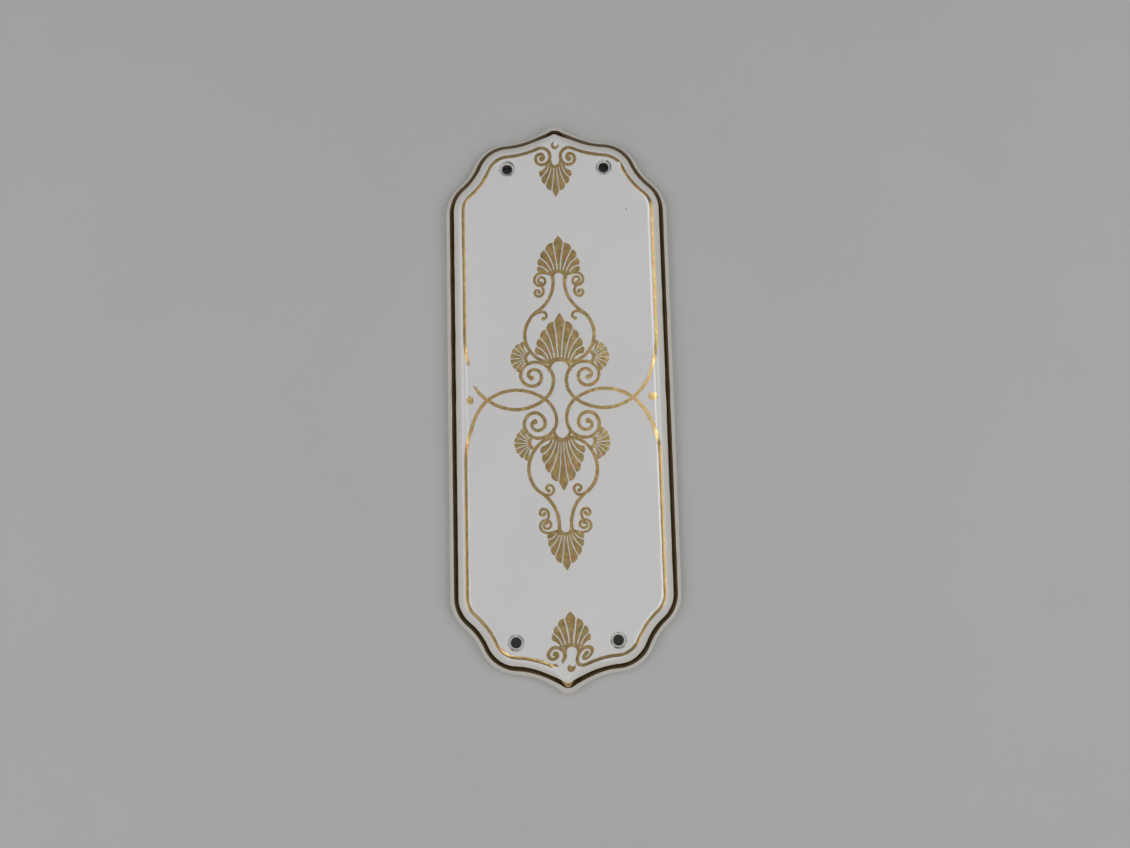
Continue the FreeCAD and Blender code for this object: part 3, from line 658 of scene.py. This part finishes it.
def ribbon(points, width, end_width=None):
    """A line along some points, with round ends; its width may change on the way."""
    points = np.array(points)
    way = np.gradient(points)
    aside = 1j * way / np.abs(way)
    widths = np.linspace(width, end_width or width, len(points))
    left = points + aside * widths / 2
    right = points - aside * widths / 2
    end_cap = arc(points[-1], left[-1], right[-1], -1)[:-1]
    start_cap = arc(points[0], right[0], left[0], -1)[:-1]
    return list(left) + end_cap + list(right[::-1]) + start_cap


def curl(way):
    """A small scroll led in by a gentler arc, with a round eye at its inner end."""
    lead_turn = way.lead_turn * way.turn
    turns = [(way.lead_radius, lead_turn)] + winding(way.radius, way.ratio, way.quarters, way.turn)
    points = drawn(way.start, way.heading - lead_turn, turns)
    return [ribbon(points, CURL_WIDTH), circle(points[-1], CURL_EYE_RADIUS)]


def end_way(side):
    """The field line from the end scroll, along the end and round the corner to the side."""
    bends = outline_bends(LINE_INSET)[1:]
    across = END_SCROLL_FROM_AXIS + END_SCROLL_BACK
    reach = bends[0][1] + END_SCROLL_BACK
    along = FLARE.imag - math.sqrt(reach ** 2 - (FLARE.real - across) ** 2)
    back = (complex(across, along), END_SCROLL_BACK, -1)
    start = back[0] - END_SCROLL_BACK
    return along_bends(start, [back] + bends, complex(side, CORNER_ALONG), LINE_SPACING)


def middle_way(side):
    """The field line from the side through both crossings to the big scroll's back."""
    inner = CROSSING_FROM_AXIS
    outer = side - CROSSING_FROM_LINE
    slope = math.radians(CROSSING_ANGLE)
    almond_radius = (outer - inner) / 2 / math.sin(slope)
    almond = complex((inner + outer) / 2, almond_radius * math.cos(slope))
    leave = almond + polar(almond_radius, -SWEEP_TURN)
    turn = math.radians(SWEEP_TURN)
    sweep_radius = (side - leave.real) / (1 - math.cos(turn))
    sweep = complex(side - sweep_radius, leave.imag + sweep_radius * math.sin(turn))
    neck = inner + (almond - inner) / almond_radius * SCROLL_NECK
    bends = [(sweep, sweep_radius, -1), (almond, almond_radius, -1), (neck, SCROLL_NECK, -1)]
    return along_bends(complex(side, sweep.imag), bends, neck - SCROLL_NECK, LINE_SPACING)


def field_line():
    """One unbroken line in each quarter, from the end scroll's eye to the big scroll's eye."""
    side = HALF_WIDTH - LINE_INSET
    along_end = end_way(side)
    inwards = middle_way(side)
    end_turns = [(END_SCROLL_BACK, 90)] + winding(END_SCROLL, END_SCROLL_RATIO, END_SCROLL_QUARTERS, 1)
    end_turns += winding(END_SCROLL_HEART, END_SCROLL_HEART_RATIO, HEART_QUARTERS, 1)
    big_turns = [(SCROLL_BACK, -90)] + winding(SCROLL, SCROLL_RATIO, SCROLL_QUARTERS, -1)
    big_turns += winding(SCROLL_HEART, SCROLL_HEART_RATIO, HEART_QUARTERS, -1)
    end_scroll = drawn(along_end[0], 270, end_turns)
    big_scroll = drawn(inwards[-1], 90, big_turns)
    down_side = straight(along_end[-1], inwards[0], LINE_SPACING)
    return end_scroll[:0:-1] + along_end + down_side + inwards[1:] + big_scroll[1:]


def stem():
    """The stem from a tip palmette, out round a bulge and in to the middle palmette."""
    across = STEM_BULGE.real - STEM_NECK.real
    along = STEM_NECK.imag - STEM_BULGE.imag
    bulge_radius = (across ** 2 + along ** 2) / (2 * across) - STEM_NECK_RADIUS
    neck = STEM_NECK + STEM_NECK_RADIUS
    bulge = STEM_BULGE - bulge_radius
    start = neck + polar(STEM_NECK_RADIUS, 180 - STEM_HEAD_TURN)
    end = bulge + polar(bulge_radius, -STEM_FOOT_TURN)
    bends = [(neck, STEM_NECK_RADIUS, 1), (bulge, bulge_radius, -1)]
    return ribbon(along_bends(start, bends, end, LINE_SPACING), LINE_WIDTH)


def slit(fan, place):
    """Foot, bend and head of a slit, at a place counted from the fan's middle."""
    reach = fan.head * fan.ratio ** (abs(place) - 0.5)
    head = fan.centre + polar(reach, fan.axis + place * fan.step)
    feet_centre = fan.centre + polar(fan.feet - fan.feet_radius, fan.axis)
    foot = feet_centre + polar(fan.feet_radius - LOBE_ROOT, fan.axis + place * fan.feet_step)
    bend = (foot + head) / 2 - 1j * LOBE_BOW * place * (head - foot)
    return foot, bend, head


def bowed(start, end, bulge):
    """Points after the start of an edge that bows out to the right of its way."""
    return bezier(start, (start + end) / 2 - 2j * bulge * (end - start), end, LOBE_STEPS)


def lobe(fan, place):
    """One lobe between two slits; the middle one of a palmette has a pointed head."""
    edges = []
    for side in (-1, 1):
        foot, bend, head = slit(fan, place + side / 2)
        inwards = -1j * side * fan.gap / 2 * (head - foot) / abs(head - foot)
        edges.append([point + inwards for point in (foot, bend, head)])
    (foot, bend, head), (last_foot, last_bend, last_head) = edges
    points = [foot] + bezier(foot, bend, head, LOBE_STEPS)
    if fan.tip and place == 0:
        tip = fan.centre + polar(fan.tip, fan.axis)
        points += bowed(head, tip, TIP_BOW) + bowed(tip, last_head, TIP_BOW)
    else:
        points += bowed(head, last_head, LOBE_BULGE)
    return points + bezier(last_head, last_bend, last_foot, LOBE_STEPS)


def bow(fan, reach, radius, span):
    """An arc across a fan's axis, at a reach from its centre, over a span to each side."""
    centre = fan.centre + polar(reach - radius, fan.axis)
    start = centre + polar(radius, fan.axis - span)
    return [start] + arc(centre, start, centre + polar(radius, fan.axis + span), 1)


def fan_shapes(fan):
    """Lobes of a palmette or side fan, its arch and the gold between them."""
    half = fan.count // 2
    lobes = [lobe(fan, place) for place in range(-half, half + 1)]
    arch = bow(fan, fan.arch, fan.arch_radius, fan.span)
    feet = bow(fan, fan.feet, fan.feet_radius, fan.feet_step * fan.count / 2)
    under = bow(fan, fan.arch, fan.arch_radius, min(fan.span, FOOT_SPAN))
    return lobes + [ribbon(arch, LINE_WIDTH), feet + under[::-1]]


def mirrored(shapes):
    """Shapes and their images across the long axis."""
    return shapes + [[-point.conjugate() for point in shape] for shape in shapes]


def half_ornament(inner_curl, widths):
    """What is drawn in the half towards the far end, with the palmettes' shares of their widths."""
    line = field_line()
    eyes = [circle(end, EYE_RADIUS) for end in (line[0], line[-1])]
    shapes = [ribbon(line, LINE_WIDTH), *eyes, stem()]
    for way in (TIP_CURL, TAIL_CURL, inner_curl):
        shapes += curl(way)
    shapes += fan_shapes(SIDE_FAN)
    shapes.append(circle(SIDE_DOT, DOT_RADIUS))
    shapes = mirrored(shapes)
    for palmette, share in zip(PALMETTES, widths):
        for shape in fan_shapes(palmette):
            shapes.append([complex(point.real * share, point.imag) for point in shape])
    return shapes


def whole_ornament():
    """Every shape of the ornament."""
    far_half = half_ornament(FAR_INNER_CURL, FAR_WIDTHS)
    near_half = half_ornament(NEAR_INNER_CURL, NEAR_WIDTHS)
    dots = [circle(place, DOT_RADIUS) for place in END_DOTS]
    return far_half + [[point.conjugate() for point in shape] for shape in near_half] + dots


def drift_at(table, place):
    """The moves of a drift table at a place along the plate."""
    along, *moves = zip(*table)
    return [float(np.interp(place, along, move)) for move in moves]


def by_hand(point):
    """Where the painter's hand put a point: the middle drifts, and every line wavers a little."""
    free = eased((inset_of(point) - LINE_INSET) / DRIFT_FADE)
    across, up, apart = drift_at(DRIFT, point.imag)
    drift = complex(across + apart * within(point.real / APART_FADE, -1, 1), up)
    line_drift = complex(*drift_at(LINE_DRIFT, point.imag))
    place = Vector((point.real, point.imag, 0)) / WAVER_LENGTH
    waver = noise.noise_vector(place) * WAVER
    return point + free * drift + (1 - free) * line_drift + complex(waver.x, waver.y)


def worn_patch(centre, radius, seed):
    """A ragged patch where the gold has rubbed off."""
    points = []
    for number in range(ROUND_STEPS):
        step = polar(1, 360 * number / ROUND_STEPS)
        ragged = noise.noise(Vector((RAGGED_TURNS * step.real, RAGGED_TURNS * step.imag, seed)))
        points.append(centre + step * radius * (1 + RAGGED * ragged))
    return points


def layer_faces(shapes, worn, lines):
    """The joined shapes without the worn patches, as plan points and triangles."""
    loops = [shape if area(shape) > 0 else shape[::-1] for shape in shapes + worn]
    points = [Vector((point.real, point.imag)) for loop in loops for point in loop]
    outlines, edges = [], []
    for loop in loops:
        first = outlines[-1][-1] + 1 if outlines else 0
        outlines.append(list(range(first, first + len(loop))))
    for line in lines:
        edges += [(number, number + 1) for number in range(len(points), len(points) + len(line) - 1)]
        points += [Vector((point.real, point.imag)) for point in line]
    verts, _, faces, _, _, inside = delaunay_2d_cdt(points, edges, outlines, 1, GILT_TOUCH)
    kept = [face for face, owners in zip(faces, inside)
            if owners and max(owners) < len(shapes)]
    return [complex(vert.x, vert.y) for vert in verts], kept


def nose_shift(point):
    """How the rim band is drawn in from each nose, to a rounder bend."""
    if abs(point.imag) < CORNER_ALONG:
        return 0
    shift = -1j * FAR_NOSE_SHIFT if point.imag > 0 else 1j * NEAR_NOSE_SHIFT
    return shift * math.exp(-(point.real / NOSE_SHIFT_WIDTH) ** 2)


def rim_band(skin):
    """The gold band round the moulding, of a slightly uneven width."""
    sides = []
    for number in range(BAND_STATIONS):
        share = number / (BAND_STATIONS - 1) - 0.5
        loop = []
        for point, inward in zip(OUTLINE, INWARD):
            place = Vector((point.real, point.imag, 0)) / BAND_WAVER_LENGTH
            swell = 1 + BAND_WAVER * noise.noise(place)
            spot = point + inward * (BAND_INSET + share * BAND_WIDTH * swell)
            loop.append(spot + nose_shift(spot))
        sides.append(loop)
    top = [skin.ring(loop, [surface(point) + GILT_THICKNESS for point in loop]) for loop in sides]
    bottom = [skin.ring(loop, [surface(point) - GILT_SINK for point in loop]) for loop in sides]
    rings = top + bottom[::-1]
    for one, two in zip(rings, rings[1:] + rings[:1]):
        skin.join(one, two)


def make_gilding(material):
    """The gilt layer on the porcelain: the rim band and the joined ornament."""
    skin = Skin()
    shapes = [[by_hand(point) for point in shape] for shape in whole_ornament()]
    worn = [worn_patch(*patch, seed) for seed, patch in enumerate(WORN_PATCHES)]
    line = field_line()
    lines = mirrored([line, [point.conjugate() for point in line]])
    lines = [[by_hand(point) for point in line] for line in lines]
    plan, triangles = layer_faces(shapes, worn, lines)
    used = sorted({corner for face in triangles for corner in face})
    place_of = {corner: number for number, corner in enumerate(used)}
    heights = [surface(plan[corner]) for corner in used]
    flat = [plan[corner] for corner in used]
    top = skin.ring(flat, [height + GILT_THICKNESS for height in heights])
    bottom = skin.ring(flat, [height - GILT_SINK for height in heights])
    borders = {}
    for face in triangles:
        corners = [place_of[corner] for corner in face]
        skin.faces.append(tuple(top[corner] for corner in corners))
        skin.faces.append(tuple(bottom[corner] for corner in reversed(corners)))
        for one, two in zip(corners, corners[1:] + corners[:1]):
            if borders.pop((two, one), None) is None:
                borders[(one, two)] = True
    for one, two in borders:
        skin.faces.append((top[two], top[one], bottom[one], bottom[two]))
    rim_band(skin)
    return skin.object("gilt_ornament", material)


# Materials

class Shader:
    """Nodes of one material, added one by one."""

    def __init__(self, name):
        self.material = bpy.data.materials.new(name)
        self.material.use_nodes = True
        self.tree = self.material.node_tree
        self.principled = self.tree.nodes["Principled BSDF"]
        self.place = self.node("ShaderNodeTexCoord").outputs["Object"]

    def node(self, kind, links=None, values=None, **settings):
        """A new node with its settings, set values and linked inputs."""
        new = self.tree.nodes.new(kind)
        for name, value in settings.items():
            setattr(new, name, value)
        for name, value in (values or {}).items():
            new.inputs[name].default_value = value
        for name, source in (links or {}).items():
            self.tree.links.new(source, new.inputs[name])
        return new

    def noise(self, size, detail=MIDDLING, rough=CLOUD_ROUGHNESS):
        """Soft random cloud whose blobs are about a given size in millimetres."""
        values = {"Scale": 1 / (size * MM), "Detail": detail, "Roughness": rough}
        return self.node("ShaderNodeTexNoise", {"Vector": self.place}, values).outputs["Fac"]

    def span(self, source, low, high, to_low=0.0, to_high=1.0):
        """A value carried from one span to another, and kept within it."""
        values = {"From Min": low, "From Max": high, "To Min": to_low, "To Max": to_high}
        return self.node("ShaderNodeMapRange", {"Value": source}, values).outputs["Result"]

    def blend(self, share, one, two):
        """One colour going over into another; each is a colour or a socket."""
        mix = self.node("ShaderNodeMix", {"Factor": share}, data_type="RGBA")
        for socket, colour in (("A", one), ("B", two)):
            target = next(place for place in mix.inputs
                          if place.name == socket and place.type == "RGBA")
            if isinstance(colour, tuple):
                target.default_value = (*colour, 1)
            else:
                self.tree.links.new(colour, target)
        return next(place for place in mix.outputs if place.type == "RGBA")

    def maths(self, operation, one, two=0.0):
        """One operation on two values; each is a number or a socket."""
        new = self.node("ShaderNodeMath", operation=operation)
        for place, value in enumerate((one, two)):
            if isinstance(value, (int, float)):
                new.inputs[place].default_value = value
            else:
                self.tree.links.new(value, new.inputs[place])
        return new.outputs["Value"]

    def distance(self, centre):
        """How far the surface is from an upright line through a plan point, in metres."""
        flat = self.node("ShaderNodeVectorMath", {0: self.place}, operation="MULTIPLY")
        flat.inputs[1].default_value = (1, 1, 0)
        away = self.node("ShaderNodeVectorMath", {0: flat.outputs["Vector"]}, operation="DISTANCE")
        away.inputs[1].default_value = (centre.real * MM, centre.imag * MM, 0)
        return away.outputs["Value"]

    def height(self):
        """How high the surface is above the floor, in metres."""
        return self.node("ShaderNodeSeparateXYZ", {"Vector": self.place}).outputs["Z"]

    def bump(self, height, depth, under=None):
        """Bumps of a depth in millimetres, on top of others."""
        links = {"Height": height, "Normal": under} if under else {"Height": height}
        values = {"Strength": 1.0, "Distance": depth * MM}
        return self.node("ShaderNodeBump", links, values).outputs["Normal"]

    def set(self, **inputs):
        """Set or link the surface's own inputs."""
        for name, value in inputs.items():
            socket = self.principled.inputs[name.replace("_", " ")]
            if isinstance(value, bpy.types.NodeSocket):
                self.tree.links.new(value, socket)
            else:
                socket.default_value = value


def porcelain_material():
    """White glaze: slightly cloudy, with a speck and a bare foot; painted shade makes the moulding
    warmer, and together with grime it darkens the holes.
    """
    shader = Shader("glazed_porcelain")
    cloud = shader.span(shader.noise(GLAZE_CLOUD_SIZE), *MOST_OF_NOISE)
    colour = shader.blend(cloud, GLAZE_COOL, GLAZE_WARM)
    for place, radius in SPECKS:
        spot = shader.span(shader.distance(place), radius * MM, radius * SPECK_CORE * MM)
        colour = shader.blend(spot, colour, SPECK_COLOUR)
    height = shader.height()
    # Painted shade: the sloping moulding turns warmer and a little darker between two heights
    field, slope = (limit * MM for limit in GLAZE_EDGE_SHADE_HEIGHTS)
    colour = shader.blend(shader.span(height, field, slope), colour, GLAZE_EDGE_SHADE)
    patchy = shader.span(shader.noise(SHADE_AND_GRIME_PATCH_SIZE), *SHADE_AND_GRIME_PATCH_NOISE, SHADE_AND_GRIME_LEAST, 1.0)
    arcs = shader.span(shader.noise(SHADE_AND_GRIME_ARC_SIZE), *SHADE_AND_GRIME_ARC_NOISE, 0.0, SHADE_AND_GRIME_RING_SHARE)
    # Painted shade with grime: the bore walls go dark, and a ring in each countersink darkens in arcs
    for place in hole_places():
        away = shader.distance(place)
        bore = shader.span(away, (BORE_RADIUS + SHADE_AND_GRIME_SPREAD) * MM, BORE_RADIUS * MM)
        colour = shader.blend(shader.maths("MULTIPLY", bore, patchy), colour, SHADE_AND_GRIME_COLOUR)
        beside = shader.maths("ABSOLUTE", shader.maths("SUBTRACT", away, SHADE_AND_GRIME_RING * MM))
        ring = shader.span(beside, SHADE_AND_GRIME_RING_WIDTH * MM, 0.0)
        colour = shader.blend(shader.maths("MULTIPLY", ring, arcs), colour, SHADE_AND_GRIME_COLOUR)
    bare = shader.span(height, FOOT_ROUND * MM, 0.0)
    colour = shader.blend(bare, colour, BISCUIT_COLOUR)
    glaze_rough = shader.span(shader.noise(GLAZE_ROUGHNESS_SIZE), *MOST_OF_NOISE, *GLAZE_ROUGHNESS)
    rough = shader.maths("MAXIMUM", glaze_rough, shader.maths("MULTIPLY", bare, BISCUIT_ROUGHNESS))
    waves = shader.bump(shader.noise(GLAZE_WAVE_SIZE, SMOOTH), GLAZE_WAVES)
    ripples = shader.bump(shader.noise(GLAZE_RIPPLE_SIZE, SMOOTH), GLAZE_RIPPLES, waves)
    shader.set(Base_Color=colour, Roughness=rough, IOR=GLAZE_IOR, Normal=ripples)
    return shader.material


def gold_material():
    """Fired-on gold: burnished, uneven in tone and rubbed thin in places, with a painted shade
    darkening the rim band.
    """
    shader = Shader("fired_gold")
    tone = shader.span(shader.noise(GOLD_TONE_SIZE), *GOLD_TONE_NOISE)
    colour = shader.blend(tone, GOLD_DEEP, GOLD_BRIGHT)
    for size, hue in GOLD_HUES:
        share = shader.span(shader.noise(size, COARSE), *GOLD_HUE_NOISE, 0.0, GOLD_HUE_SHARE)
        colour = shader.blend(share, colour, hue)
    # Painted shade: the rim band on the sloping moulding is darkened to stand in for the dark room it
    # mirrors
    high, low = (limit * MM for limit in BAND_SHADE_HEIGHTS)
    band_shade = shader.span(shader.height(), high, low, 0.0, BAND_SHADE_SHARE)
    colour = shader.blend(band_shade, colour, BAND_SHADE_GOLD)
    thin = shader.span(shader.noise(THIN_SIZE, FINEST, THIN_ROUGHNESS), *THIN_NOISE)
    colour = shader.blend(thin, colour, THIN_GOLD)
    metal = shader.span(thin, 0.0, 1.0, 1.0, THIN_METAL)
    rough = shader.span(shader.noise(GOLD_ROUGHNESS_SIZE, FINE), *MOST_OF_NOISE, *GOLD_ROUGHNESS)
    grain = shader.bump(shader.noise(GOLD_GRAIN_SIZE), GOLD_GRAIN)
    shader.set(Base_Color=colour, Metallic=metal, Roughness=rough, Normal=grain)
    return shader.material


def floor_material():
    """A plain pale floor with the faintest mottle."""
    shader = Shader("pale_floor")
    mottle = shader.span(shader.noise(FLOOR_MOTTLE_SIZE, FINE), *MOST_OF_NOISE)
    shader.set(Base_Color=shader.blend(mottle, FLOOR_DARK, FLOOR_LIGHT), Roughness=FLOOR_ROUGHNESS)
    return shader.material


# Stage

def make_floor():
    """The floor that the plate lies on."""
    mesh = bpy.data.meshes.new("floor")
    half = FLOOR_SIZE / 2
    corners = [(-half, -half, 0), (half, -half, 0), (half, half, 0), (-half, half, 0)]
    mesh.from_pydata(corners, [], [(0, 1, 2, 3)])
    mesh.materials.append(floor_material())
    floor = add_object("floor", mesh)


def make_light(name, place, target, width, length, power):
    """A soft box aimed at a point."""
    light = bpy.data.lights.new(name, "AREA")
    light.shape = "RECTANGLE"
    light.size = length
    light.size_y = width
    light.energy = power
    lamp = add_object(name, light)
    lamp.location = place
    lamp.rotation_euler = (Vector(target) - Vector(place)).to_track_quat("-Z", "Y").to_euler()
    return lamp


def make_world():
    """A room that is light overhead and dim round the horizon."""
    world = bpy.data.worlds.new("room")
    world.use_nodes = True
    bpy.context.scene.world = world
    tree = world.node_tree
    place = tree.nodes.new("ShaderNodeTexCoord")
    split = tree.nodes.new("ShaderNodeSeparateXYZ")
    ramp = tree.nodes.new("ShaderNodeValToRGB")
    tree.links.new(place.outputs["Generated"], split.inputs["Vector"])
    tree.links.new(split.outputs["Z"], ramp.inputs["Fac"])
    tree.links.new(ramp.outputs["Color"], tree.nodes["Background"].inputs["Color"])
    ramp.color_ramp.elements[0].color = (*[WORLD_HORIZON] * 3, 1)
    ramp.color_ramp.elements[1].color = (*[WORLD_ZENITH] * 3, 1)
    low, dim = WORLD_LOW
    ramp.color_ramp.elements.new(low).color = (dim, dim, dim, 1)


def make_camera():
    """The camera of the photo: nearly overhead, from a little towards the near end."""
    camera = bpy.data.cameras.new("camera")
    camera.sensor_width = SENSOR_WIDTH
    camera.lens = FOCAL_PIXELS / IMAGE_WIDTH * SENSOR_WIDTH
    camera.clip_start = CLIP_START * MM
    eye = add_object("camera", camera)
    eye.location = Vector(CAMERA_PLACE) * MM
    eye.rotation_euler = Euler([math.radians(angle) for angle in CAMERA_TURN])
    bpy.context.scene.camera = eye


porcelain = make_porcelain(porcelain_material())
gilding = make_gilding(gold_material())
for piece, node, slot in ((porcelain, "porcelain_plate", "porcelain"), (gilding, "gilding", "gold")):
    smooth(piece, SHARP_DEGREES)
    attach(piece, "root")
    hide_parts(node)

make_floor()
make_world()
for name, settings in BOXES.items():
    make_light(name, *settings)
for name, settings in STRIPS.items():
    make_light(name, *settings).visible_diffuse = False
make_camera()
bpy.context.scene.view_settings.view_transform = "Standard"
